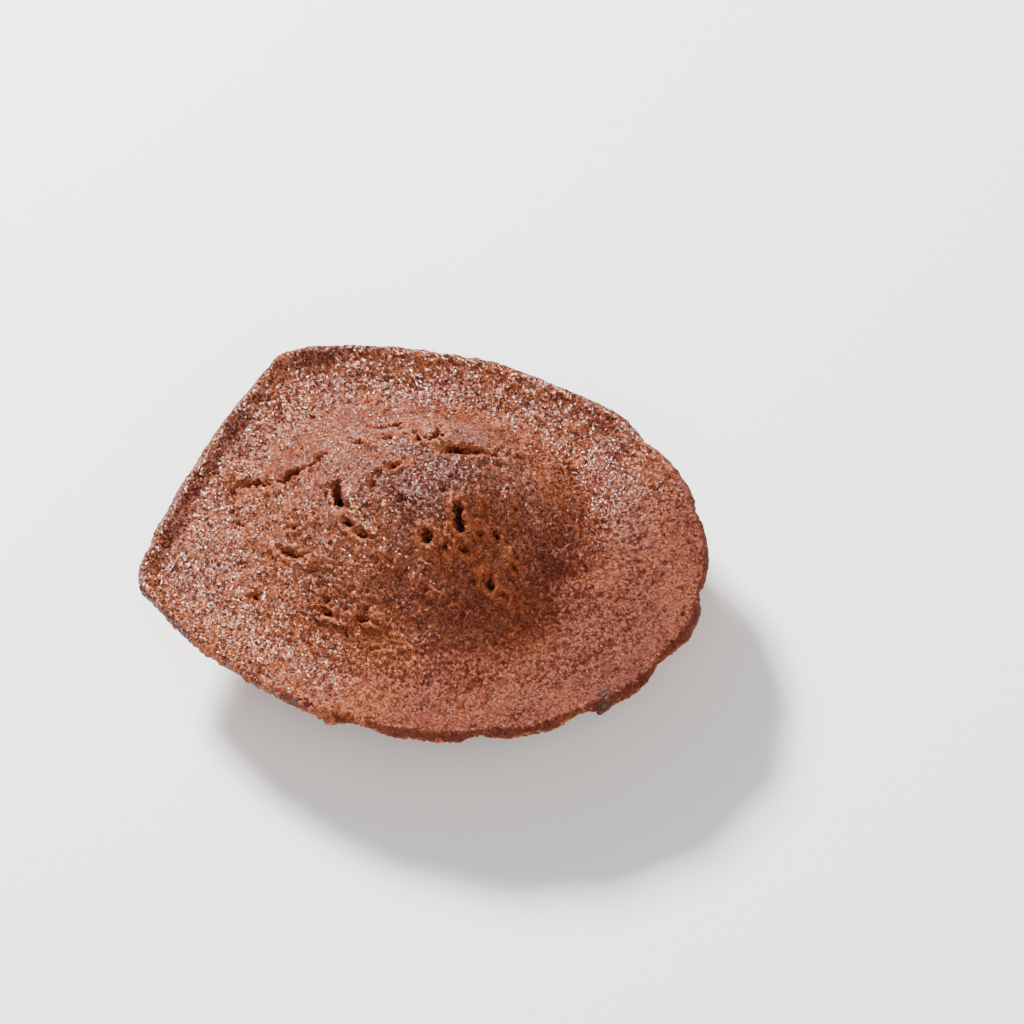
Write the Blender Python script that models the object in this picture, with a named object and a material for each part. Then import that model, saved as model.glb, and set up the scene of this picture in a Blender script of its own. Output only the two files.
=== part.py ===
"""A shell-shaped madeleine, lying shell down with its hump up.

The frame: +X runs along the length from the blunt tail to the scalloped fan, +Z is up,
and the origin is under the middle of the cake, on the surface that it rests on.
"""

import math

import bmesh
import bpy
import numpy as np
from mathutils import Vector, noise

MM = 0.001

# Outline, seen from above
LENGTH = 80 * MM
WIDTH = 61 * MM
TAIL_REACH = 53 * MM        # half length of the ellipse that the tail's sides follow
TAIL_END_RADIUS = 105 * MM  # bow of the blunt end
CORNER_BLEND = 1.6 * MM     # how much the tail's two corners are rounded off
WANDER_SIZE = 7 * MM        # slow in and out of the baked edge
WANDER = 0.35 * MM

# Edge: the thin lip where batter spread over the mould
LIP_THICKNESS = 1.9 * MM
LIP_WIDTH = 1.0 * MM
BEAD_HEIGHT = 0.7 * MM
BEAD_WIDTH = 2.2 * MM
GROOVE_INSET = 3.4 * MM     # the blunt end has a groove inside its bead
GROOVE_WIDTH = 0.9 * MM
GROOVE_DEPTH = 0.4 * MM

# Shell underneath
SHELL_DEPTH = 16.5 * MM
FAN_FULLNESS = 3.0
TAIL_FULLNESS = 2.3
FOOT_CUT = 0.9 * MM         # how much of the lowest crests is pressed flat

# Flutes, which spread from a point behind the tail and fade towards it
FLUTE_FOCUS = -62 * MM
FLUTE_PITCH = math.radians(7.07)
FLUTES_EACH_SIDE = 4
FLUTE_DEPTH = 0.19         # of a flute's own width
FLUTE_CREST = 2.1           # over 2, the crests are broader than the valleys
FLUTE_FADE = (-36 * MM, -12 * MM)
SCALLOP = 0.46              # share of the flutes' depth that reaches the rim
SCALLOP_FADE = (-8 * MM, 8 * MM)

# Hump on top: an oval foot, and a summit nearer to one of its sides
HUMP_HEIGHT = 13.5 * MM
HUMP_SUMMIT = (0.0 * MM, 6.0 * MM)
HUMP_FOOT = (-5.5 * MM, -0.5 * MM)
HUMP_REACH = (31 * MM, 25 * MM)
HUMP_FULLNESS = 0.92
MOAT_DEPTH = 1.7 * MM
MOAT_WIDTH = 9 * MM
MOAT_LEAN = 0.3             # how much deeper the moat is on the +Y side

# Swellings of the top crust: x, y, radius, height, in mm
SWELLS = (
    (-8.5, -11.5, 5.5, 0.9),
    (4.0, 4.5, 3.5, 0.6),
    (-14.0, -5.5, 4.0, 0.5),
    (-16.0, 8.0, 4.0, 0.7),
    (-9.0, 5.0, 5.0, 0.6),
)

# Splits where the rising hump broke the crust: points on each, half width, depth, in mm
SPLITS = (
    (((-32.5, -1.0), (-30.0, -0.2), (-25.4, 0.4), (-22.6, 2.0), (-19.2, 3.5)), 0.85, 1.3),
    (((-32.0, -1.6), (-31.4, -3.5), (-30.4, -5.9)), 0.7, 0.6),
    (((-19.4, 10.6), (-14.6, 10.6), (-10.0, 11.0), (-4.8, 10.2), (-2.1, 9.9)), 1.1, 1.7),
    (((-17.0, 13.2), (-12.5, 14.1), (-9.5, 16.2)), 0.8, 0.9),
    (((0.0, 6.9), (2.5, 8.8), (4.8, 10.8)), 1.15, 1.5),
    (((-13.5, -1.2), (-12.2, -3.6)), 1.0, 2.2),
)
RAG_SIZE = 1.9 * MM         # how far noise shifts the splits and holes, to leave them ragged
SPLIT_RAG = 0.75 * MM
HOLE_RAG = 0.45 * MM

# Holes that bubbles left: x, y, radius, depth, height of the rim round it, in mm
HOLES = (
    (3.1, -4.4, 0.9, 2.4, 0.35), (6.5, -1.1, 0.85, 1.8, 0.2), (7.9, -3.6, 0.7, 1.4, 0.15),
    (12.2, -4.7, 0.75, 1.2, 0.15), (-2.6, -15.6, 0.7, 1.0, 0.1), (-8.4, -15.9, 0.75, 1.1, 0.15),
)

# Unevenness of the baked crust
LUMP_SIZE = 7 * MM
LUMP_HEIGHT = 0.5 * MM
SHELL_LUMPS = 0.3           # share of the lumps' height on the moulded underside
GRAIN_SIZE = 2.4 * MM
GRAIN_HEIGHT = 0.2 * MM

# Mesh and crust
CUTS = 99
POLE_CROWDING = 1.25        # over 1, the grid is a little coarser at the middle of top and shell
TRIANGLES = 11800
CRUST_COLOUR = (0.26, 0.085, 0.035, 1.0)
CRUST_ROUGHNESS = 0.5


def smooth_step(low, high, value):
    t = np.clip((value - low) / (high - low), 0, 1)
    return t * t * (3 - 2 * t)


def smooth_least(a, b, blend):
    """The smaller of two lengths, rounded off where they cross."""
    h = np.clip(0.5 + 0.5 * (b - a) / blend, 0, 1)
    return b + (a - b) * h - blend * h * (1 - h)


def bell(value, width):
    return np.exp(-(value / width) ** 2)


def roughly(place, size, shift=0.0):
    """Smooth noise, about -1 to 1, with features of the given size."""
    away = Vector((shift, shift, shift))
    return np.array([noise.noise(Vector(p) / size + away) for p in place])


def outline_radius(angle):
    """Distance from the middle to the outline: half an ellipse for the fan,
    and for the tail a longer one whose end is cut off by a slight bow.
    """
    c, s = np.cos(angle), np.sin(angle)
    reach = np.where(c > 0, LENGTH / 2, TAIL_REACH)
    side = 1 / np.sqrt((c / reach) ** 2 + (s / (WIDTH / 2)) ** 2)
    bow = np.maximum(s * s / (2 * TAIL_END_RADIUS), 1e-9)
    back = np.abs(c)
    end = (-back + np.sqrt(back * back + 4 * bow * LENGTH / 2)) / (2 * bow)
    return np.where(c > 0, side, smooth_least(side, end, CORNER_BLEND))


def hump(x, y):
    """How far the domed middle stands over the crust round it, from 0 to 1.

    Its level lines are ovals that shrink from the foot to the summit.
    """
    away = [(p - top) / reach for p, top, reach in zip((x, y), HUMP_SUMMIT, HUMP_REACH)]
    lean = [(foot - top) / reach for foot, top, reach in zip(HUMP_FOOT, HUMP_SUMMIT, HUMP_REACH)]
    along = away[0] * lean[0] + away[1] * lean[1]
    room = 1 - lean[0] ** 2 - lean[1] ** 2
    oval = (np.sqrt(along ** 2 + room * (away[0] ** 2 + away[1] ** 2)) - along) / room
    return (0.5 + 0.5 * np.cos(np.pi * np.clip(oval, 0, 1))) ** HUMP_FULLNESS


def lip_rounding(inset):
    """How far the lip's half-round edge falls away from its flat."""
    out = 1 - np.clip(inset / (LIP_THICKNESS / 2), 0, 1)
    return (LIP_THICKNESS / 2) * (1 - np.sqrt(1 - out ** 2))


def top_height(x, y, angle, inset):
    """Height of the top over the rim's plane. inset is the distance in from the edge."""
    bead = BEAD_HEIGHT * bell(inset - BEAD_WIDTH / 2, BEAD_WIDTH / 2)
    tail = smooth_step(-28 * MM, -34 * MM, x)
    groove = GROOVE_DEPTH * tail * bell(inset - GROOVE_INSET, GROOVE_WIDTH)
    moat = MOAT_DEPTH * (1 + MOAT_LEAN * np.sin(angle)) * smooth_step(0.5 * MM, MOAT_WIDTH, inset)
    swell = sum(h * MM * bell(np.hypot(x - sx * MM, y - sy * MM), r * MM) for sx, sy, r, h in SWELLS)
    dome = (HUMP_HEIGHT + MOAT_DEPTH) * hump(x, y)
    return bead - lip_rounding(inset) - groove - moat + swell + dome


def shell_height(angle, radius, inset):
    """Height of the underside over the rim's plane: the lip, then the bowl."""
    fullness = TAIL_FULLNESS + (FAN_FULLNESS - TAIL_FULLNESS) * (0.5 + 0.5 * np.cos(angle))
    inward = np.clip((inset - LIP_WIDTH) / (radius - LIP_WIDTH), 0, 1)
    bowl = (SHELL_DEPTH - LIP_THICKNESS) * (1 - (1 - inward) ** fullness)
    return lip_rounding(inset) - LIP_THICKNESS - bowl


def flute_depth(x, y, under, inset):
    """Depth of the valleys between the flutes, and of the scallops that they leave in the rim."""
    away = np.hypot(x - FLUTE_FOCUS, y)
    turn = np.arctan2(y, x - FLUTE_FOCUS) / FLUTE_PITCH
    across = np.abs(turn - np.round(turn)) * 2
    valley = np.where(np.abs(turn) > FLUTES_EACH_SIDE + 1, 0, across ** FLUTE_CREST)
    scallop = SCALLOP * smooth_step(*SCALLOP_FADE, x)
    fade = smooth_step(*FLUTE_FADE, x)
    below = scallop + (fade - scallop) * smooth_step(0, 3 * MM, inset)
    above = scallop * (1 - smooth_step(0, 2.5 * MM, inset))
    return FLUTE_DEPTH * away * FLUTE_PITCH * valley * np.where(under, below, above)


def split_depth(x, y):
    """Depth of the splits, each a groove along its line of points."""
    depth = np.zeros_like(x)
    for points, half_width, most in SPLITS:
        line = np.array(points) * MM
        nearest = np.full_like(x, LENGTH)
        for start, end in zip(line[:-1], line[1:]):
            run = end - start
            along = ((x - start[0]) * run[0] + (y - start[1]) * run[1]) / (run @ run)
            along = np.clip(along, 0, 1)
            off = np.hypot(x - start[0] - along * run[0], y - start[1] - along * run[1])
            nearest = np.minimum(nearest, off)
        depth = np.maximum(depth, most * MM * np.clip(1 - (nearest / (half_width * MM)) ** 2, 0, 1))
    return depth


def hole_depth(x, y):
    """Depth of the holes, with a raised rim round some."""
    depth = np.zeros_like(x)
    rims = np.zeros_like(x)
    for hx, hy, radius, most, rim in HOLES:
        q = np.hypot(x - hx * MM, y - hy * MM) / (radius * MM)
        depth = np.maximum(depth, most * MM * np.clip(1 - q ** 2, 0, 1) ** 0.7)
        rims = np.maximum(rims, rim * MM * bell(q - 1.35, 0.45))
    return depth - rims


def ball():
    """A cube cut into an even grid, the start of the cake."""
    mesh = bmesh.new()
    bmesh.ops.create_cube(mesh, size=2)
    bmesh.ops.subdivide_edges(mesh, edges=mesh.edges[:], cuts=CUTS, use_grid_fill=True)
    return mesh


def shape(mesh):
    """Moves the grid's points to the lip, the domed top and the bowl of the shell.

    Returns which points are on the underside and how far in from the edge each one is.
    """
    cube = np.array([v.co for v in mesh.verts])
    around = np.tan(cube * (math.pi / 4))
    around /= np.linalg.norm(around, axis=1)[:, None]
    latitude = np.arcsin(np.clip(around[:, 2], -1, 1)) / (math.pi / 2)
    angle = np.arctan2(around[:, 1], around[:, 0])
    radius = outline_radius(angle)
    edge = np.stack([radius * np.cos(angle), radius * np.sin(angle), 0 * radius], axis=1)
    radius += WANDER * roughly(edge, WANDER_SIZE)
    away = (1 - np.abs(latitude) ** POLE_CROWDING) * radius
    x, y = away * np.cos(angle), away * np.sin(angle)
    inset = radius - away
    under = latitude < 0
    z = np.where(under, shell_height(angle, radius, inset), top_height(x, y, angle, inset))
    for vert, place in zip(mesh.verts, np.stack([x, y, z], axis=1)):
        vert.co = place
    return under, inset


def carve(mesh, under, inset):
    """Pushes the flutes, splits, holes and lumps into the surface along its normals."""
    mesh.normal_update()
    place = np.array([v.co for v in mesh.verts])
    normal = np.array([v.normal for v in mesh.verts])
    x, y = place[:, 0], place[:, 1]
    rag_x = roughly(place, RAG_SIZE, 3.7)
    rag_y = roughly(place, RAG_SIZE, 9.1)
    push = -flute_depth(x, y, under, inset)
    splits = split_depth(x + SPLIT_RAG * rag_x, y + SPLIT_RAG * rag_y)
    holes = hole_depth(x + HOLE_RAG * rag_x, y + HOLE_RAG * rag_y)
    push -= np.where(under, 0, splits + holes)
    lumps = LUMP_HEIGHT * np.where(under, SHELL_LUMPS, 1) * smooth_step(0, 4 * MM, inset)
    push += lumps * roughly(place, LUMP_SIZE)
    push += GRAIN_HEIGHT * roughly(place, GRAIN_SIZE)
    for vert, co in zip(mesh.verts, place + normal * push[:, None]):
        vert.co = co


def thin_out(cake):
    """Replaces the even grid by fewer triangles, closest where the relief is finest."""
    thin = cake.modifiers.new("thin", "DECIMATE")
    thin.ratio = TRIANGLES / (12 * (CUTS + 1) ** 2)
    thin.use_collapse_triangulate = True
    thinned = cake.evaluated_get(bpy.context.evaluated_depsgraph_get())
    data = bpy.data.meshes.new_from_object(thinned)
    cake.modifiers.clear()
    cake.data = data


def set_down(cake):
    """Presses the foot flat and puts the origin under the middle of the cake."""
    place = np.array([v.co for v in cake.data.vertices])
    low = place.min(axis=0)
    high = place.max(axis=0)
    floor = low[2] + FOOT_CUT
    place[:, 2] = np.maximum(place[:, 2], floor)
    place -= np.array([(low[0] + high[0]) / 2, (low[1] + high[1]) / 2, floor])
    for vert, co in zip(cake.data.vertices, place):
        vert.co = co


def crust_material():
    material = bpy.data.materials.new("crust")
    material.use_nodes = True
    shader = material.node_tree.nodes["Principled BSDF"]
    shader.inputs["Base Color"].default_value = CRUST_COLOUR
    shader.inputs["Roughness"].default_value = CRUST_ROUGHNESS
    shader.inputs["Metallic"].default_value = 0.0
    return material


def build():
    for old in list(bpy.data.objects):
        bpy.data.objects.remove(old)
    mesh = ball()
    under, inset = shape(mesh)
    carve(mesh, under, inset)
    bmesh.ops.recalc_face_normals(mesh, faces=mesh.faces[:])
    data = bpy.data.meshes.new("madeleine")
    mesh.to_mesh(data)
    mesh.free()
    data.materials.append(crust_material())
    data.shade_smooth()
    cake = bpy.data.objects.new("madeleine", data)
    bpy.context.scene.collection.objects.link(cake)
    thin_out(cake)
    set_down(cake)
    return cake


build()
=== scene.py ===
"""Looks of a shell-shaped chocolate madeleine: its baked crust, open crumb, chocolate and studio.

All places are in the cake's own frame: +X from the blunt tail to the fan, +Z up, with the
origin on the floor under the cake's middle.
"""

import math

import bpy
import numpy as np
from mathutils import Matrix, Vector


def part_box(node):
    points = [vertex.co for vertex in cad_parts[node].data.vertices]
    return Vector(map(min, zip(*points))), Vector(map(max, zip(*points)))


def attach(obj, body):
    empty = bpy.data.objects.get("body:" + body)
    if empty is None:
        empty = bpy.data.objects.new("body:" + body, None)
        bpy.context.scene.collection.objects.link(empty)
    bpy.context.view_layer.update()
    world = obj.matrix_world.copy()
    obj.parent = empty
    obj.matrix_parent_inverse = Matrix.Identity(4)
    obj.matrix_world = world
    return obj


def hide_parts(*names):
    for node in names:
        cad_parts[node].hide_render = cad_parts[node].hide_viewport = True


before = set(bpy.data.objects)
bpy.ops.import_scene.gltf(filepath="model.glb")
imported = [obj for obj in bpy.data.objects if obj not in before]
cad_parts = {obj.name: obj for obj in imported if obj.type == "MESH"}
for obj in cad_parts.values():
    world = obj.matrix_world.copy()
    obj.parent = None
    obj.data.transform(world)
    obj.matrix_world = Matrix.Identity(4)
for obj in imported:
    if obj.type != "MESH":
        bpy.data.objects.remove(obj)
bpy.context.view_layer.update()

bl_info = {
    "name": "Shell Madeleine",
    "version": (1, 0, 0),
    "blender": (4, 5, 0),
    "location": "View3D > Sidebar > Madeleine",
    "description": "Dresses a shell-shaped madeleine in crust, crumb and chocolate",
    "category": "Object",
}

MM = 0.001
SEED = 7
LOW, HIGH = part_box("madeleine")
LENGTH = HIGH.x - LOW.x
WIDTH = HIGH.y - LOW.y
RIM_HEIGHT = 15.6 * MM
TAIL_REACH = 53 * MM

# Slits and holes where the rising hump broke the crust: their two ends, half width, depth, in mm
SLITS = (
    (-33.3, -1.6, -31.7, -3.1, 0.4, 0.9), (-31.9, -0.4, -29.7, 0.2, 0.4, 0.9),
    (-28.8, -0.4, -27.4, -0.6, 0.5, 1.4), (-26.6, -1.4, -22.6, 2.3, 0.85, 1.1),
    (-24.2, -0.4, -22.3, 0.5, 0.5, 2.1), (-22.3, 1.4, -18.4, 4.4, 0.75, 1.6),
    (-13.7, -1.2, -11.3, -3.8, 0.8, 2.4), (-19.8, -10.1, -15.2, -10.9, 0.4, 0.9),
    (-14.9, 5.7, -12.2, 6.0, 0.5, 1.0), (-15.6, 11.2, -9.6, 12.6, 0.55, 1.1),
    (-9.7, 6.4, -8.1, 7.8, 0.6, 1.2), (-7.9, 7.7, -4.6, 9.3, 0.6, 1.5),
    (-4.3, 8.0, -3.7, 9.7, 0.85, 2.4), (-2.9, 8.8, -2.7, 10.6, 0.85, 2.4),
    (-3.4, 11.4, -4.3, 12.8, 0.5, 1.4), (-22.0, 17.5, -21.6, 18.8, 0.35, 0.8),
    (-5.9, 2.5, -4.4, 3.2, 0.35, 0.9), (0.4, 8.0, 2.7, 9.7, 0.85, 1.3),
    (2.5, 9.4, 5.2, 11.1, 0.85, 1.5), (4.1, 14.4, 4.9, 15.1, 0.35, 0.8),
    (3.1, -4.3, 3.7, -4.8, 0.62, 2.6), (5.5, 0.9, 6.4, -0.4, 0.55, 1.5),
    (6.3, -0.6, 6.9, -1.8, 0.75, 2.0), (7.8, -3.5, 8.4, -3.6, 0.6, 1.8),
    (5.8, -4.3, 6.1, -4.7, 0.35, 1.2), (8.6, 2.4, 9.4, 1.1, 0.3, 1.0),
    (10.6, 0.7, 11.1, 0.3, 0.4, 1.2), (13.8, -1.4, 15.0, -2.1, 0.35, 1.0),
    (11.5, -5.0, 12.8, -5.6, 0.6, 1.4), (13.9, -5.4, 15.1, -5.9, 0.3, 0.9),
    (10.8, 5.6, 11.3, 5.1, 0.35, 1.0), (-8.8, -16.6, -7.1, -16.8, 0.5, 1.2),
    (-3.2, -16.2, -1.3, -15.9, 0.5, 1.3), (9.0, -0.6, 9.4, -0.9, 0.35, 1.1),
    (10.1, 18.8, 10.7, 19.9, 0.4, 0.9), (-1.3, -8.9, -0.4, -9.0, 0.3, 0.8),
    (4.2, -9.9, 5.1, -9.9, 0.3, 0.8), (-19.3, -4.5, -18.9, -4.8, 0.4, 1.1),
    (-15.8, -5.1, -15.4, -5.4, 0.4, 1.1), (-18.6, -7.0, -18.2, -7.3, 0.4, 1.0),
    (-9.6, -5.8, -8.4, -6.2, 0.45, 1.2), (-7.0, -6.8, -5.4, -7.0, 0.45, 1.2),
    (-25.7, 6.5, -25.1, 6.1, 0.4, 0.9), (-20.1, -16.8, -19.6, -17.3, 0.45, 1.0),
    (-31.2, -22.9, -30.8, -22.9, 0.35, 0.8),
)
# Crumbly ridges that stand up beside the splits: ends, half width, height, in mm
RIDGES = (
    (1.4, 6.9, 6.2, 10.2, 0.7, 0.55), (-25.0, -2.6, -21.6, 0.6, 0.6, 0.35),
    (-11.0, -1.4, -9.6, -3.6, 0.6, 0.35), (-8.5, -17.9, -3.0, -17.4, 0.6, 0.35),
    (4.0, -6.0, 5.0, -5.0, 0.5, 0.35),
)
# Crumb rings that stand up round holes: middle and radius, in mm
RINGS = ((3.3, -4.6, 1.25), (5.9, 0.1, 1.3), (6.7, -1.2, 1.3), (12.1, -5.3, 1.2))
RING_WIDTH = 0.55 * MM
RING_HEIGHT = 0.45 * MM
# Crumbly lips beside splits and holes
LIP_HEIGHT = 0.5 * MM
LIP_REACH = 1.1 * MM
TORN_REACH = 0.9 * MM
# Patches of the top: middle and reach, in mm, and strength
HOLED_MIDDLE = ((2, -5), (22, 17), 1.0)
HOLED_TAIL = ((-24, -8), (16, 16), 0.7)
# On the hump's front and by the front: darker crust with painted shade on it
HUMP_DARK_AND_SHADE = ((-0.5, 2.0), (12, 10), 1.0)
FRONT_DARK_AND_SHADE = ((-7.5, -13), (10, 7), 0.2)
# Painted shade on the fan's lip, where it curves down
FAN_SHADE = ((37, -9), (9, 14), 0.4)
# Painted shade on the dish beside the hump, in the rim's brown
DISH_SHADE = ((23, 9), (13, 15), 0.15)
# Fine grain of the crust: width, steepness and dome of a grain, and the tint of its gloss
GRAIN_SIZE = 0.35 * MM
GRAIN_TILT = 0.9
DOME = 0.06 * MM
GLOSS_TINT = (1.0, 0.92, 0.87, 1)
# In how many steps thinning out tells top from underside
WEIGHT_LEVELS = 4

# Chocolate pieces baked in: x, y, side (1 top, 0 rim, -1 underside), size, turn, in mm and degrees
CHIPS = (
    (35.2, -14.3, 0, 3.0, 20), (22.0, -9.5, -1, 4.2, 10), (12.5, -15.5, -1, 3.6, 70),
    (4.0, 17.0, -1, 3.2, 130), (-9.0, -14.5, -1, 2.6, 45), (27.0, 12.0, -1, 2.4, 95),
)
# Crumbs on the front rim: where round the edge, in degrees from +X, how many, size in mm
CRUMBS = (
    (-92, 10, 1.7), (-97, 6, 1.3), (-118, 8, 1.3), (-127, 8, 1.5), (-131, 6, 1.2),
    (-108, 6, 1.0), (-80, 4, 1.0), (-60, 4, 0.9), (-140, 5, 1.0), (-30, 3, 0.8),
)
# Swells of one lump: width and height, as shares of the lump's size
CHIP_SWELLS = ((0.5, 0.4), (0.2, 0.15))
CRUMB_SWELLS = ((0.45, 0.8), (0.2, 0.5))
# Shares of a lump's width: how deep a crumb sinks, how high a lump is and how long a chip is
CRUMB_SINK = 0.22
LUMP_HEIGHT = 0.7
CHIP_STRETCH = 1.35
# How far under the rim's plane a chip in the rim sits, and where the rays at the cake start
CHIP_DROP = 0.5 * MM
RAY_START = 0.1
# Lamps: name, azimuth and elevation in degrees, distance and size in metres, power in watts
LAMPS = (("key", -125, 40, 0.9, 0.19, 33.0), ("fill", 55, 42, 1.2, 1.0, 15.0))
ROOM_LIGHT = 0.45
# Where the camera looks, to the right of and above the middle of the rim's plane in the picture
AIM_RIGHT = 10.4 * MM
AIM_UP = 4.3 * MM
SENSOR_WIDTH = 36


class Value:
    """A number, colour or vector in a node tree, with ordinary operators for its maths."""

    def __init__(self, tree, socket):
        self.tree = tree
        self.socket = socket

    def _with(self, operation, *values):
        return self.tree.maths(operation, *values)

    def __add__(self, other):
        return self._with("ADD", self, other)

    def __radd__(self, other):
        return self._with("ADD", other, self)

    def __sub__(self, other):
        return self._with("SUBTRACT", self, other)

    def __rsub__(self, other):
        return self._with("SUBTRACT", other, self)

    def __mul__(self, other):
        return self._with("MULTIPLY", self, other)

    def __rmul__(self, other):
        return self._with("MULTIPLY", other, self)

    def __truediv__(self, other):
        return self._with("DIVIDE", self, other)


class Tree:
    """A shader or geometry node tree, and short ways to add to it."""

    def __init__(self, tree):
        self.tree = tree
        tree.nodes.clear()

    def node(self, kind, settings=None, values=None):
        """Adds a node: its settings first, then the values or links of its sockets."""
        node = self.tree.nodes.new(kind)
        for name, setting in (settings or {}).items():
            setattr(node, name, setting)
        for name, value in (values or {}).items():
            if isinstance(value, Value):
                self.tree.links.new(value.socket, node.inputs[name])
            else:
                node.inputs[name].default_value = value
        return node

    def out(self, node, name=0):
        return Value(self, node.outputs[name])

    def maths(self, operation, *values, clamp=False):
        settings = {"operation": operation, "use_clamp": clamp}
        return self.out(self.node("ShaderNodeMath", settings, dict(enumerate(values))))

    def vector_maths(self, operation, *values, output=0):
        settings = {"operation": operation}
        return self.out(self.node("ShaderNodeVectorMath", settings, dict(enumerate(values))), output)

    def scaled(self, vector, factor):
        node = self.node("ShaderNodeVectorMath", {"operation": "SCALE"}, {0: vector, "Scale": factor})
        return self.out(node)

    def parts(self, vector):
        node = self.node("ShaderNodeSeparateXYZ", values={0: vector})
        return [self.out(node, i) for i in range(3)]

    def most(self, a, b):
        return self.maths("MAXIMUM", a, b)

    def least(self, a, b):
        return self.maths("MINIMUM", a, b)

    def clamped(self, value):
        return self.maths("ADD", value, 0.0, clamp=True)

    def step(self, value, start, end, low=0.0, high=1.0):
        """low up to start, high from end, and smooth between."""
        values = {"Value": value, "From Min": start, "From Max": end, "To Min": low, "To Max": high}
        node = self.node("ShaderNodeMapRange", {"interpolation_type": "SMOOTHSTEP"}, values)
        return self.out(node)

    def noise(self, place, size, detail=2.0, roughness=0.5, output=0):
        values = {"Vector": place, "Scale": 1 / size, "Detail": detail, "Roughness": roughness}
        return self.out(self.node("ShaderNodeTexNoise", values=values), output)

    def wander(self, place, size, reach):
        """The place, shifted by noise, so that what is drawn with it turns ragged."""
        drift = self.noise(place, size, output="Color")
        shift = self.vector_maths("SUBTRACT", drift, (0.5, 0.5, 0.5))
        return self.vector_maths("ADD", place, self.scaled(shift, 2 * reach))

    def cells(self, place, size):
        """Distance to the middle of the nearest cell, in cells, and that cell's own random number."""
        node = self.node("ShaderNodeTexVoronoi", values={"Vector": place, "Scale": 1 / size})
        own = self.parts(self.out(node, "Color"))[0]
        return self.out(node, "Distance"), own

    def borders(self, place, size):
        """Distance to the nearest border between cells."""
        settings = {"feature": "DISTANCE_TO_EDGE"}
        node = self.node("ShaderNodeTexVoronoi", settings, {"Vector": place, "Scale": 1 / size})
        return self.out(node)

    def facets(self, place, size):
        """Height, in metres, of grains that each tilt their own way."""
        node = self.node("ShaderNodeTexVoronoi", values={"Vector": place, "Scale": 1 / size})
        own = self.vector_maths("SUBTRACT", self.out(node, "Color"), (0.5, 0.5, 0.5))
        across = self.vector_maths("SUBTRACT", place, self.out(node, "Position"))
        return self.vector_maths("DOT_PRODUCT", across, own, output="Value")

    def bump(self, height):
        """The normal of a surface with this height, in metres, on it."""
        values = {"Strength": 1.0, "Distance": 1.0, "Height": height}
        return self.out(self.node("ShaderNodeBump", values=values))

    def attribute(self, name):
        return self.out(self.node("ShaderNodeAttribute", {"attribute_name": name}), "Fac")

    def mix(self, factor, a, b):
        """Colour a turning to colour b."""
        node = self.node("ShaderNodeMix", {"data_type": "RGBA"})
        for index, value in ((0, factor), (6, a), (7, b)):
            if isinstance(value, Value):
                self.tree.links.new(value.socket, node.inputs[index])
            else:
                node.inputs[index].default_value = value
        return self.out(node, 2)

    def patch(self, place, patch):
        """A patch's strength at its middle, fading to 0 at its reach."""
        (middle_x, middle_y), (reach_x, reach_y), strength = patch
        x, y, _ = self.parts(place)
        dx = (x - middle_x * MM) / (reach_x * MM)
        dy = (y - middle_y * MM) / (reach_y * MM)
        return self.step(self.maths("SQRT", dx * dx + dy * dy), 1.0, 0.3) * strength


def edge_share(tree, place):
    """0 in the cake's middle and 1 on its outline, seen from above."""
    x, y, _ = tree.parts(place)
    reach = tree.maths("GREATER_THAN", x, 0.0) * (LENGTH / 2 - TAIL_REACH) + TAIL_REACH
    dx = x / reach
    dy = y / (WIDTH / 2)
    sides = tree.maths("SQRT", dx * dx + dy * dy)
    return tree.most(sides, x / (-LENGTH / 2))


def off_slit(tree, x, y, slit):
    """0 along a slit's middle, 1 at its pointed outline in plan, and more outside it."""
    x0, y0, x1, y1, half_width, _ = slit
    middle_x, middle_y = (x0 + x1) / 2, (y0 + y1) / 2
    half_length = math.hypot(x1 - x0, y1 - y0) / 2 + half_width
    run_x, run_y = (x1 - x0, y1 - y0) if half_length > half_width else (1.0, 0.0)
    run = math.hypot(run_x, run_y)
    dx, dy = x - middle_x * MM, y - middle_y * MM
    along = (dx * (run_x / run) + dy * (run_y / run)) / (half_length * MM)
    across = (dy * (run_x / run) - dx * (run_y / run)) / (half_width * MM)
    return tree.maths("SQRT", along * along + across * across)


def split_field(tree, place):
    """Depth of the ragged slits and holes, and how far outside them a place is, in metres."""
    coarse = tree.wander(place, 1.3 * MM, 0.55 * MM)
    x, y, _ = tree.parts(tree.wander(coarse, 0.55 * MM, 0.4 * MM))
    ragged = tree.step(tree.noise(place, 0.6 * MM, 1), 0.35, 0.55, 0.35, 1.0)
    depth, gap = None, None
    for slit in SLITS:
        off = off_slit(tree, x, y, slit)
        hollow = tree.clamped((0.85 - off) * 3.0) * ragged * (slit[5] * MM)
        outside = (off - 1) * (slit[4] * MM)
        depth = hollow if depth is None else tree.most(depth, hollow)
        gap = outside if gap is None else tree.least(gap, outside)
    for ridge in RIDGES:
        depth = depth - tree.step(off_slit(tree, x, y, ridge), 1.0, 0.2) * (ridge[5] * MM)
    return depth, gap


def ring(tree, place):
    """1 along the raised crumb rings round the larger holes, and 0 off them."""
    x, y, _ = tree.parts(tree.wander(place, 1.0 * MM, 0.22 * MM))
    most = None
    for middle_x, middle_y, radius in RINGS:
        dx, dy = x - middle_x * MM, y - middle_y * MM
        away = tree.maths("ABSOLUTE", tree.maths("SQRT", dx * dx + dy * dy) - radius * MM)
        share = tree.step(away, RING_WIDTH, 0.3 * RING_WIDTH)
        most = share if most is None else tree.most(most, share)
    return most


def lips(tree, place, gap):
    """The crumbly lip round splits and holes: its height in metres."""
    beside = tree.step(gap, LIP_REACH, 0.35 * LIP_REACH) * tree.step(gap, -0.1 * MM, 0.2 * MM)
    return beside * tree.step(tree.noise(place, 0.9 * MM, 1), 0.4, 0.6, 0.15, 1.0) * LIP_HEIGHT


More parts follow.
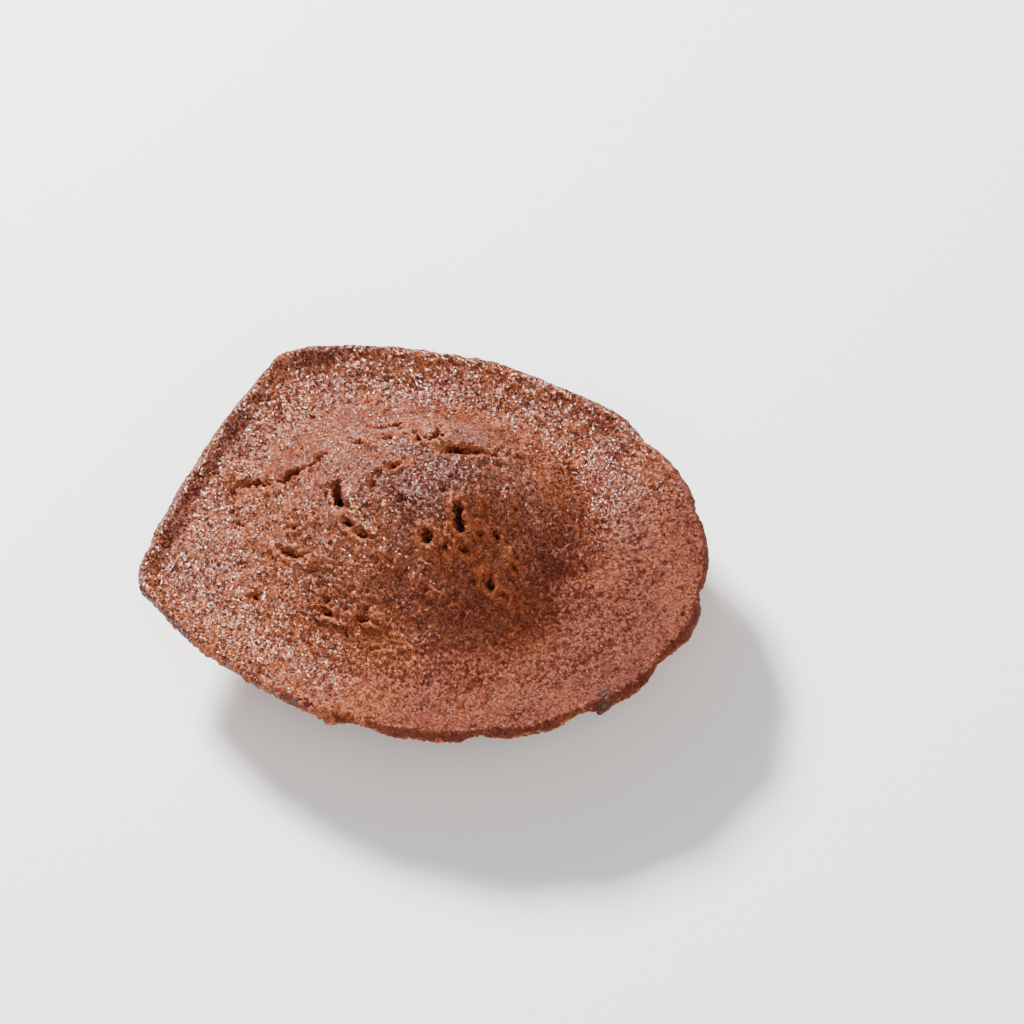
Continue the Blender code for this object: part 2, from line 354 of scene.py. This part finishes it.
def pits(tree, place, size, share, radius, depth):
    """Round pits in a share of the cells: radius in cells, depth in metres."""
    distance, own = tree.cells(tree.wander(place, size, 0.25 * size), size)
    chosen = tree.maths("LESS_THAN", own, share)
    return tree.step(distance, radius, 0.35 * radius) * chosen * depth


def top_relief(tree, place, edge):
    """Push along the normal on the top: swells, lumps, grain and pits, in metres."""
    rough = tree.step(tree.noise(place, 9 * MM, 2), 0.35, 0.65, 0.55, 1.0)
    lumps = (tree.noise(place, 2.4 * MM, 2) - 0.5) * (0.8 * MM)
    grain = (tree.noise(place, 0.45 * MM, 1, 0.6) - 0.5) * (1.0 * MM) * rough
    grain = grain * tree.step(edge, 0.95, 1.0, 1.0, 0.6)
    crumbly = tree.most(tree.patch(place, HOLED_MIDDLE), tree.patch(place, HOLED_TAIL))
    hollow = pits(tree, place, 2.6 * MM, 0.16, 0.30, 0.8 * MM) * crumbly
    hollow = hollow + pits(tree, place, 1.5 * MM, 0.16, 0.34, 0.42 * MM)
    crack = tree.borders(tree.wander(place, 2.0 * MM, 0.9 * MM), 4.2 * MM)
    crazed = tree.step(crack, 0.05, 0.0) * tree.step(tree.noise(place, 6 * MM, 2), 0.52, 0.62)
    return lumps + grain - hollow - crazed * crumbly * (0.45 * MM)


def shell_relief(tree, place):
    """The moulded underside: its push along the normal and the depth of its pores, in metres."""
    lumps = (tree.noise(place, 2.4 * MM, 2) - 0.5) * (0.45 * MM)
    grain = (tree.noise(place, 0.5 * MM, 1, 0.6) - 0.5) * (0.65 * MM)
    pores = pits(tree, place, 1.35 * MM, 0.6, 0.42, 0.45 * MM)
    pores = pores + pits(tree, place, 2.8 * MM, 0.22, 0.30, 0.7 * MM)
    return lumps + grain - pores, pores


def relief_nodes(sizes):
    """Geometry nodes that push the surface in and out, and keep what the crust's colours follow."""
    group = bpy.data.node_groups.new("relief", "GeometryNodeTree")
    group.interface.new_socket("Geometry", in_out="INPUT", socket_type="NodeSocketGeometry")
    group.interface.new_socket("Geometry", in_out="OUTPUT", socket_type="NodeSocketGeometry")
    tree = Tree(group)
    start = tree.out(tree.node("NodeGroupInput"))
    place = tree.out(tree.node("GeometryNodeInputPosition"))
    normal = tree.out(tree.node("GeometryNodeInputNormal"))
    height = tree.parts(place)[2]
    facing = tree.parts(normal)[2]
    high = tree.step(height, RIM_HEIGHT - 2.5 * MM, RIM_HEIGHT - 1.0 * MM)
    top = tree.step(facing, -0.35, 0.15) * tree.most(high, tree.step(facing, 0.2, 0.4))
    edge = edge_share(tree, place)
    splits, gap = split_field(tree, place)
    splits = splits * top
    rings = ring(tree, place) * top
    torn = tree.most(tree.step(gap, TORN_REACH, 0.2 * MM) * top, rings * 2.0)
    floor = tree.step(height, 0.05 * MM, 1.2 * MM)
    shell, pores = shell_relief(tree, place)
    shell = shell * (1 - top) * floor
    relief = top_relief(tree, place, edge) * top
    raised = tree.most(lips(tree, place, gap) * top, rings * RING_HEIGHT)
    push = (relief + shell + raised) * sizes.relief - splits
    moved = tree.node("GeometryNodeSetPosition", values={
        "Geometry": start, "Offset": tree.scaled(normal, push)})
    kept = tree.out(moved)
    values = {"top": top, "split": splits / MM, "edge": edge, "torn": torn, "pore": pores / MM}
    for name, value in values.items():
        node = tree.node("GeometryNodeStoreNamedAttribute", {"data_type": "FLOAT", "domain": "POINT"},
                         {"Geometry": kept, "Name": name, "Value": value})
        kept = tree.out(node)
    tree.node("NodeGroupOutput", values={0: kept})
    return group


def deselect_all():
    for thing in bpy.context.selected_objects:
        thing.select_set(False)


def take_up(piece):
    """Selects one object, alone, as the active one."""
    deselect_all()
    piece.select_set(True)
    bpy.context.view_layer.objects.active = piece


def modified(piece, kind, **settings):
    """Adds a modifier, sets it and applies it."""
    modifier = piece.modifiers.new(kind.lower(), kind)
    for name, value in settings.items():
        setattr(modifier, name, value)
    bpy.ops.object.modifier_apply(modifier=modifier.name)


def triangle_count(piece):
    return sum(len(face.vertices) - 2 for face in piece.data.polygons)


def point_values(piece, attribute):
    values = np.zeros(len(piece.data.vertices), dtype=np.float32)
    piece.data.attributes[attribute].data.foreach_get("value", values)
    return values


def thin_out(piece, weights, count):
    """Collapses edges, where the weights are highest first, until so many triangles are left."""
    group = piece.vertex_groups.new(name="thin")
    for level in range(WEIGHT_LEVELS + 1):
        chosen = np.flatnonzero(np.round(weights * WEIGHT_LEVELS) == level)
        group.add(chosen.tolist(), level / WEIGHT_LEVELS, "REPLACE")
    modified(piece, "DECIMATE", ratio=min(1.0, count / triangle_count(piece)),
             vertex_group="thin", vertex_group_factor=1.0)
    piece.vertex_groups.clear()


def landing(cake, place, direction):
    """Where a ray meets the cake, and the surface's normal there."""
    hit, spot, normal, _ = cake.ray_cast(place, direction)
    if not hit:
        raise RuntimeError("nothing to land on at %s" % place)
    return spot, normal


def lump(name, size, swells):
    """A rough lump of the given width, modelled once, to be copied: swells are (width, height)."""
    deselect_all()
    bpy.ops.mesh.primitive_ico_sphere_add(subdivisions=3, radius=size / 2)
    piece = bpy.context.object
    piece.name = name
    for width, height in swells:
        clouds = bpy.data.textures.new(name, "CLOUDS")
        clouds.noise_scale = width * size
        modified(piece, "DISPLACE", texture=clouds, texture_coords="LOCAL", strength=height * size)
    return piece


def set_in(pattern, name, spots):
    """Copies a lump to each spot and joins the copies: (place, normal, size, turn, stretch)."""
    copies = []
    for place, normal, size, turn, stretch in spots:
        copy = pattern.copy()
        copy.data = pattern.data.copy()
        bpy.context.scene.collection.objects.link(copy)
        upright = normal.to_track_quat("Z", "Y").to_matrix().to_4x4()
        copy.matrix_world = (Matrix.Translation(place) @ upright @ Matrix.Rotation(turn, 4, "Z")
                             @ Matrix.Diagonal((size * stretch, size, size * LUMP_HEIGHT, 1)))
        copies.append(copy)
    bpy.data.objects.remove(pattern)
    deselect_all()
    for copy in copies:
        copy.select_set(True)
    bpy.context.view_layer.objects.active = copies[0]
    bpy.ops.object.transform_apply(location=True, rotation=True, scale=True)
    bpy.ops.object.join()
    piece = bpy.context.object
    piece.name = name
    bpy.ops.object.shade_smooth()
    return piece


def chocolate_material(colours):
    """Dark chocolate, dulled by the oven and dusted with crumb."""
    material = bpy.data.materials.new("chocolate")
    material.use_nodes = True
    tree = Tree(material.node_tree)
    place = tree.out(tree.node("ShaderNodeTexCoord"), "Object")
    grain = tree.noise(place, 0.5 * MM, 3, 0.6)
    dust = tree.step(tree.noise(place, 0.7 * MM, 2), 0.46, 0.6)
    colour = tree.mix(dust * 0.35, colours.chocolate, colours.crumb)
    bump = tree.bump(grain * (0.5 * MM))
    shader = tree.node("ShaderNodeBsdfPrincipled", values={
        "Base Color": colour, "Roughness": tree.step(grain, 0.3, 0.7, 0.3, 0.6), "Normal": bump,
        "Specular IOR Level": 0.2})
    tree.node("ShaderNodeOutputMaterial", values={0: tree.out(shader)})
    return material


def crumb_material(colours):
    """Loose baked crumb, oranger than the crust."""
    material = bpy.data.materials.new("crumb")
    material.use_nodes = True
    tree = Tree(material.node_tree)
    place = tree.out(tree.node("ShaderNodeTexCoord"), "Object")
    grain = tree.noise(place, 0.25 * MM, 2, 0.6)
    colour = tree.mix(tree.step(grain, 0.38, 0.62), colours.crumb, colours.crumb_light)
    # Painted shade in the low spots of the crumb's grain
    colour = tree.mix(tree.step(grain, 0.42, 0.32) * 0.7, colour, colours.pore)
    shader = tree.node("ShaderNodeBsdfPrincipled", values={
        "Base Color": colour, "Roughness": 0.6, "Normal": tree.bump(grain * (0.5 * MM)),
        "Specular IOR Level": 0.3})
    tree.node("ShaderNodeOutputMaterial", values={0: tree.out(shader)})
    return material


def crust_material(colours):
    """Baked crust on top, open crumb on the shell and in the splits, with painted shade in crevices,
    pores and splits and on darker patches.
    """
    material = bpy.data.materials.new("baked crust")
    material.use_nodes = True
    tree = Tree(material.node_tree)
    place = tree.out(tree.node("ShaderNodeTexCoord"), "Object")
    top, split, edge = tree.attribute("top"), tree.attribute("split"), tree.attribute("edge")
    torn, pore = tree.attribute("torn"), tree.attribute("pore")

    blotch = tree.noise(place, 11 * MM, 3, 0.55)
    x, y, _ = tree.parts(place)
    moist = tree.step(x * 0.85 - y * 0.5 + (blotch - 0.5) * (24 * MM), 20 * MM, -2 * MM, 0.16, 1.0)
    fleck = tree.noise(place, 1.1 * MM, 2, 0.5)
    ragged = tree.wander(place, 0.35 * MM, 0.16 * MM)
    off, own = tree.cells(ragged, GRAIN_SIZE)
    coarse = tree.noise(place, 2.2 * MM, 2)
    fine = tree.noise(place, 0.28 * MM, 1)
    grain = tree.facets(ragged, GRAIN_SIZE) * GRAIN_TILT - off * off * DOME
    grain = grain + tree.facets(place, 0.45 * GRAIN_SIZE) * (0.5 * GRAIN_TILT)
    finest = tree.noise(place, 0.17 * MM, 1)
    sunk = own * 0.5 + fine * 0.8 - 0.15 + (coarse - 0.5) * 0.3
    # Painted shade in the crevices between the grains and in the finest pits
    crevice_shade = tree.most(tree.step(sunk, 0.44, 0.32) * 0.9, tree.step(off, 0.46, 0.62) * 0.5)
    crevice_shade = tree.most(crevice_shade, tree.step(finest, 0.45, 0.37))
    # Pale flecks on the raised grain: paler crumb, and painted glints
    pale = tree.step(sunk, 0.58, 0.80)
    golden = tree.step(blotch + (fleck - 0.5) * 0.8, 0.35, 0.65)
    colour = tree.mix(golden, colours.crust, colours.crust_light)
    shifted = tree.wander(place, 5 * MM, 3 * MM)
    # Darker patches: darker crust with painted shade on it on the hump's front and by the front, painted
    # shade alone by the fan
    dark_and_shade = tree.most(tree.patch(shifted, HUMP_DARK_AND_SHADE), tree.patch(shifted, FRONT_DARK_AND_SHADE))
    dark_and_shade = tree.most(dark_and_shade, tree.patch(shifted, FAN_SHADE))
    dark_and_shade = dark_and_shade * tree.step(blotch + (fleck - 0.5) * 0.6, 0.2, 0.5, 0.35, 1.0)
    colour = tree.mix(dark_and_shade * 0.75, colour, colours.crust_dark_and_shade)
    # Painted shade on the dish beside the hump
    colour = tree.mix(tree.patch(shifted, DISH_SHADE), colour, colours.rim)
    # Darker towards the fan and the front: browner crust, with painted shade on it
    colour = tree.mix(tree.step(x - y * 0.4, 0.0, 34 * MM) * 0.67, colour, colours.rim)
    # Painted shade in the crevices, deeper where the crust is moist
    colour = tree.mix(crevice_shade * (0.6 + 0.35 * moist), colour, colours.pore)
    # Pale flecks, partly painted glints
    colour = tree.mix(pale * 0.2, colour, colours.crumb_light)
    crumb = tree.mix(tree.step(fleck, 0.35, 0.65), colours.crumb, colours.crumb_light)
    # Painted shade in the underside's pores and crevices, on a darker crumb
    pore_shade = tree.step(pore, 0.08, 0.34) * tree.step(top, 0.5, 0.2)
    crumb = tree.mix(tree.most(crevice_shade * 0.6, pore_shade * 0.85), crumb, colours.pore)
    colour = tree.mix(tree.step(edge, 0.97, 0.995) * 0.85, colour, colours.rim)
    colour = tree.mix(tree.step(top, 0.9, 0.2), colour, crumb)
    crumbly = tree.clamped(torn * tree.step(tree.noise(place, 0.8 * MM, 2), 0.3, 0.5, 0.15, 1.0))
    colour = tree.mix(crumbly * 0.85, colour, crumb)
    # Browner walls and dark bottoms in the splits: browner crumb, with painted shade in the recess
    colour = tree.mix(tree.step(split, 0.15, 0.4) * 0.8, colour, colours.rim)
    colour = tree.mix(tree.step(split, 0.3, 0.8) * 0.95, colour, colours.pore)

    wet = tree.step(top, 0.3, 0.9) * tree.step(split, 0.4, 0.05) * (1 - crumbly * 0.6) * moist
    wet = wet * (1 - dark_and_shade * 0.5)
    rough = tree.step(tree.noise(place, 6 * MM, 2), 0.3, 0.7, 0.12, 0.22)
    roughness = tree.step(wet, 0.0, 1.0, 0.5, 0.0) + rough * wet

    bump = tree.bump(grain)
    dull = tree.node("ShaderNodeBsdfPrincipled", values={
        "Base Color": colour, "Roughness": 0.6, "Normal": bump, "Specular IOR Level": 0.1})
    glossy = tree.node("ShaderNodeBsdfPrincipled", values={
        "Base Color": colour, "Roughness": roughness, "Normal": bump,
        "Specular IOR Level": 0.85, "Specular Tint": GLOSS_TINT})
    both = tree.node("ShaderNodeMixShader", values={
        0: wet * (1 - crevice_shade), 1: tree.out(dull), 2: tree.out(glossy)})
    tree.node("ShaderNodeOutputMaterial", values={0: tree.out(both)})
    return material


class CakeProps(bpy.types.PropertyGroup):
    """Sizes of the crust's surface."""
    voxel: bpy.props.FloatProperty(
        name="Surface cell", description="Size of the cells that the surface is rebuilt from",
        default=0.23 * MM, min=0.1 * MM, max=2 * MM, unit="LENGTH")
    top_triangles: bpy.props.IntProperty(
        name="Top triangles", description="How many triangles the finished top may have",
        default=138000, min=5000, max=150000)
    shell_triangles: bpy.props.IntProperty(
        name="Shell triangles", description="How many triangles the finished underside may have",
        default=58000, min=5000, max=100000)
    relief: bpy.props.FloatProperty(
        name="Relief", description="Strength of the lumps, grain and pores",
        default=1.0, min=0.0, max=2.0, subtype="FACTOR")


class ColourProps(bpy.types.PropertyGroup):
    """Colours of crust, crumb and chocolate."""
    crust: bpy.props.FloatVectorProperty(
        name="Crust", description="Middle brown of the top", subtype="COLOR", size=4,
        default=(0.215, 0.040, 0.015, 1), min=0, max=1)
    crust_light: bpy.props.FloatVectorProperty(
        name="Light crust", description="Golden brown of the paler patches", subtype="COLOR", size=4,
        default=(0.32, 0.074, 0.019, 1), min=0, max=1)
    # Darker crust, also the colour of the painted shade on the darker patches
    crust_dark_and_shade: bpy.props.FloatVectorProperty(
        name="Dark crust", description="Purple brown of the hump's front", subtype="COLOR", size=4,
        default=(0.09, 0.015, 0.0095, 1), min=0, max=1)
    rim: bpy.props.FloatVectorProperty(
        name="Rim", description="Browner lip along the edge", subtype="COLOR", size=4,
        default=(0.085, 0.012, 0.0045, 1), min=0, max=1)
    crumb: bpy.props.FloatVectorProperty(
        name="Crumb", description="Orange brown of the open crumb", subtype="COLOR", size=4,
        default=(0.28, 0.050, 0.017, 1), min=0, max=1)
    crumb_light: bpy.props.FloatVectorProperty(
        name="Light crumb", description="Paler flecks of the crumb", subtype="COLOR", size=4,
        default=(0.44, 0.125, 0.045, 1), min=0, max=1)
    chocolate: bpy.props.FloatVectorProperty(
        name="Chocolate", description="Dark chocolate", subtype="COLOR", size=4,
        default=(0.030, 0.011, 0.007, 1), min=0, max=1)
    # Darker crumb with painted shade on it, at the bottom of pores, crevices and splits
    pore: bpy.props.FloatVectorProperty(
        name="Pore", description="Dark bottom of pores and splits", subtype="COLOR", size=4,
        default=(0.026, 0.0035, 0.0015, 1), min=0, max=1)


class PieceProps(bpy.types.PropertyGroup):
    """The chocolate and the crumbs."""
    sink: bpy.props.FloatProperty(
        name="Sink", description="Share of a chocolate piece's width that lies in the crust",
        default=0.34, min=0.0, max=0.5, subtype="FACTOR")
    crumb_spread: bpy.props.FloatProperty(
        name="Crumb spread", description="How far a cluster of crumbs runs along the rim",
        default=math.radians(3.0), min=0.0, max=math.radians(20), subtype="ANGLE")


class StageProps(bpy.types.PropertyGroup):
    """The floor, the light and the camera."""
    floor_size: bpy.props.FloatProperty(
        name="Floor", description="Width of the pale floor", default=16.0, unit="LENGTH")
    floor_colour: bpy.props.FloatVectorProperty(
        name="Floor colour", description="Pale warm grey of the floor", subtype="COLOR", size=4,
        default=(0.86, 0.85, 0.83, 1), min=0, max=1)
    azimuth: bpy.props.FloatProperty(
        name="Azimuth", description="Turn of the camera round the cake",
        default=math.radians(44.0), subtype="ANGLE")
    elevation: bpy.props.FloatProperty(
        name="Elevation", description="Camera's angle above the floor",
        default=math.radians(53.4), subtype="ANGLE")
    roll: bpy.props.FloatProperty(
        name="Roll", description="Tilt of the camera about its own axis",
        default=math.radians(19.0), subtype="ANGLE")
    distance: bpy.props.FloatProperty(
        name="Distance", description="From the camera to the cake's middle", default=0.65, unit="LENGTH")
    lens: bpy.props.FloatProperty(
        name="Lens", description="Focal length in millimetres", default=165.2)


class MADELEINE_OT_cake(bpy.types.Operator):
    """Rebuild the cake's surface with its crust's relief"""
    bl_idname = "madeleine.cake"
    bl_label = "Bake the cake"

    def execute(self, context):
        sizes = context.scene.madeleine_cake
        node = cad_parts["madeleine"]
        piece = bpy.data.objects.new("cake", node.data.copy())
        context.scene.collection.objects.link(piece)
        take_up(piece)
        bpy.ops.object.mode_set(mode="EDIT")
        bpy.ops.mesh.select_all(action="SELECT")
        bpy.ops.mesh.remove_doubles(threshold=0.01 * MM)
        bpy.ops.object.mode_set(mode="OBJECT")
        modified(piece, "SMOOTH", factor=0.5, iterations=2)
        modified(piece, "REMESH", mode="VOXEL", voxel_size=sizes.voxel, adaptivity=0.0)
        modified(piece, "SMOOTH", factor=0.5, iterations=3)
        modified(piece, "NODES", node_group=relief_nodes(sizes))
        top = point_values(piece, "top")
        on_top = sum(len(face.vertices) - 2 for face in piece.data.polygons
                     if top[face.vertices[0]] > 0.5)
        thin_out(piece, 1 - top, on_top + sizes.shell_triangles)
        thin_out(piece, point_values(piece, "top"), sizes.top_triangles + sizes.shell_triangles)
        bpy.ops.object.shade_smooth()
        piece.data.materials.clear()
        piece.data.materials.append(crust_material(context.scene.madeleine_colours))
        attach(piece, "root")
        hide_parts("madeleine")
        return {"FINISHED"}


class MADELEINE_OT_chocolate(bpy.types.Operator):
    """Press the chocolate pieces into the crust"""
    bl_idname = "madeleine.chocolate"
    bl_label = "Press in the chocolate"

    def execute(self, context):
        cake = bpy.data.objects["cake"]
        sink = context.scene.madeleine_pieces.sink
        spots = []
        for x, y, side, size, turn in CHIPS:
            if side == 0:
                outward = Vector((x, y, 0)).normalized()
                start = outward * RAY_START + Vector((0, 0, RIM_HEIGHT - CHIP_DROP))
                place, normal = landing(cake, start, -outward)
            else:
                start = Vector((x * MM, y * MM, side * RAY_START))
                place, normal = landing(cake, start, Vector((0, 0, -side)))
            sunk = place - normal * (sink * size * MM)
            spots.append((sunk, normal, size, math.radians(turn), CHIP_STRETCH))
        piece = set_in(lump("chip", 1 * MM, CHIP_SWELLS), "chocolate", spots)
        piece.data.materials.append(chocolate_material(context.scene.madeleine_colours))
        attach(piece, "root")
        return {"FINISHED"}


class MADELEINE_OT_crumbs(bpy.types.Operator):
    """Cluster crumbs along the front rim"""
    bl_idname = "madeleine.crumbs"
    bl_label = "Scatter the rim's crumbs"

    def execute(self, context):
        cake = bpy.data.objects["cake"]
        spread = context.scene.madeleine_pieces.crumb_spread
        draw = np.random.default_rng(SEED)
        spots = []
        for angle, count, size in CRUMBS:
            for _ in range(count):
                turn = math.radians(angle) + draw.uniform(-spread, spread)
                outward = Vector((math.cos(turn), math.sin(turn), 0))
                height = RIM_HEIGHT + draw.uniform(-1.0, 0.3) * MM
                start = outward * RAY_START + Vector((0, 0, height))
                place, normal = landing(cake, start, -outward)
                width = size * draw.uniform(0.45, 1.1)
                stretch = draw.uniform(1.0, 1.7)
                sunk = place - normal * (CRUMB_SINK * width * MM)
                spots.append((sunk, normal, width, draw.uniform(0, 6.3), stretch))
        piece = set_in(lump("crumb", 1 * MM, CRUMB_SWELLS), "rim_crumbs", spots)
        piece.data.materials.append(crumb_material(context.scene.madeleine_colours))
        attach(piece, "root")
        return {"FINISHED"}


def area_light(name, azimuth, elevation, distance, size, power):
    """A soft square lamp that looks at the cake. Azimuth 0 is at -Y and 90 at +X, in degrees."""
    turn, rise = math.radians(azimuth), math.radians(elevation)
    back = Vector((math.sin(turn) * math.cos(rise), -math.cos(turn) * math.cos(rise), math.sin(rise)))
    bpy.ops.object.light_add(type="AREA", location=back * distance)
    lamp = bpy.context.object
    lamp.name = name
    lamp.rotation_euler = back.to_track_quat("Z", "Y").to_euler()
    lamp.data.size = size
    lamp.data.energy = power


class MADELEINE_OT_stage(bpy.types.Operator):
    """Add the pale floor, the soft lamps and the camera"""
    bl_idname = "madeleine.stage"
    bl_label = "Set the stage"

    def execute(self, context):
        props = context.scene.madeleine_stage
        deselect_all()
        bpy.ops.mesh.primitive_plane_add(size=props.floor_size)
        floor = context.object
        floor.name = "floor"
        material = bpy.data.materials.new("pale floor")
        material.use_nodes = True
        shader = material.node_tree.nodes["Principled BSDF"]
        shader.inputs["Base Color"].default_value = props.floor_colour
        shader.inputs["Roughness"].default_value = 0.6
        floor.data.materials.append(material)

        world = bpy.data.worlds.new("soft room")
        context.scene.world = world
        world.use_nodes = True
        world.node_tree.nodes["Background"].inputs["Color"].default_value = (1, 1, 1, 1)
        world.node_tree.nodes["Background"].inputs["Strength"].default_value = ROOM_LIGHT
        for lamp in LAMPS:
            area_light(*lamp)

        forward = -Vector((
            math.sin(props.azimuth) * math.cos(props.elevation),
            -math.cos(props.azimuth) * math.cos(props.elevation),
            math.sin(props.elevation)))
        level = Vector((math.cos(props.azimuth), math.sin(props.azimuth), 0))
        right = Matrix.Rotation(props.roll, 3, forward) @ level
        up = right.cross(forward)
        aim = Vector((0, 0, RIM_HEIGHT)) + right * AIM_RIGHT + up * AIM_UP
        place = aim - forward * props.distance
        bpy.ops.object.camera_add()
        camera = context.object
        camera.name = "camera"
        turned = Matrix((right, up, -forward)).transposed()
        camera.matrix_world = Matrix.Translation(place) @ turned.to_4x4()
        camera.data.lens = props.lens
        camera.data.sensor_width = SENSOR_WIDTH
        camera.data.clip_start = 10 * MM
        context.scene.camera = camera
        return {"FINISHED"}


class MADELEINE_PT_panel(bpy.types.Panel):
    """Lists the steps and what can be changed"""
    bl_label = "Madeleine"
    bl_idname = "MADELEINE_PT_panel"
    bl_space_type = "VIEW_3D"
    bl_region_type = "UI"
    bl_category = "Madeleine"

    def draw(self, context):
        for operator, group in STEPS:
            self.layout.operator(operator)
            for name in getattr(context.scene, group).bl_rna.properties.keys():
                if name not in ("rna_type", "name"):
                    self.layout.prop(getattr(context.scene, group), name)


STEPS = (
    ("madeleine.cake", "madeleine_cake"),
    ("madeleine.chocolate", "madeleine_pieces"),
    ("madeleine.crumbs", "madeleine_colours"),
    ("madeleine.stage", "madeleine_stage"),
)
GROUPS = {
    "madeleine_cake": CakeProps,
    "madeleine_colours": ColourProps,
    "madeleine_pieces": PieceProps,
    "madeleine_stage": StageProps,
}
CLASSES = (
    CakeProps, ColourProps, PieceProps, StageProps, MADELEINE_OT_cake, MADELEINE_OT_chocolate,
    MADELEINE_OT_crumbs, MADELEINE_OT_stage, MADELEINE_PT_panel,
)


def register():
    for item in CLASSES:
        bpy.utils.register_class(item)
    for name, group in GROUPS.items():
        setattr(bpy.types.Scene, name, bpy.props.PointerProperty(type=group))


def unregister():
    for name in GROUPS:
        delattr(bpy.types.Scene, name)
    for item in reversed(CLASSES):
        bpy.utils.unregister_class(item)


def main():
    register()
    bpy.ops.madeleine.cake()
    bpy.ops.madeleine.chocolate()
    bpy.ops.madeleine.crumbs()
    bpy.ops.madeleine.stage()


if __name__ == "__main__":
    main()
